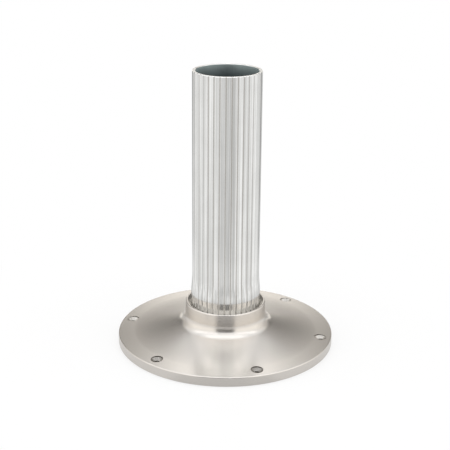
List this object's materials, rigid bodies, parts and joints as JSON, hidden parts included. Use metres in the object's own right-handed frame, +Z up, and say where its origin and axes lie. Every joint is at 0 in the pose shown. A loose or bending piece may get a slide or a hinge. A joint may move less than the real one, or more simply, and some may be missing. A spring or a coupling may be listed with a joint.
{
  "type": "boat seat pedestal",
  "caption": "Fixed-height boat seat pedestal: a reeded aluminium post pressed into the collar of a round deck flange with countersunk screw holes.",
  "frame": {"origin": "centre of the flange's underside, on the deck", "axes": "+Z up along the post, -Y towards the viewer of the picture"},
  "size_m": [0.2286, 0.2286, 0.2915],
  "materials": {
    "satin_aluminium": "fine-turned satin, clear anodised",
    "bright_aluminium": "bright extruded, clear anodised"
  },
  "bodies": {
    "root": {"base_flange": "satin_aluminium", "ribbed_post": "bright_aluminium"}
  },
  "joints": []
}
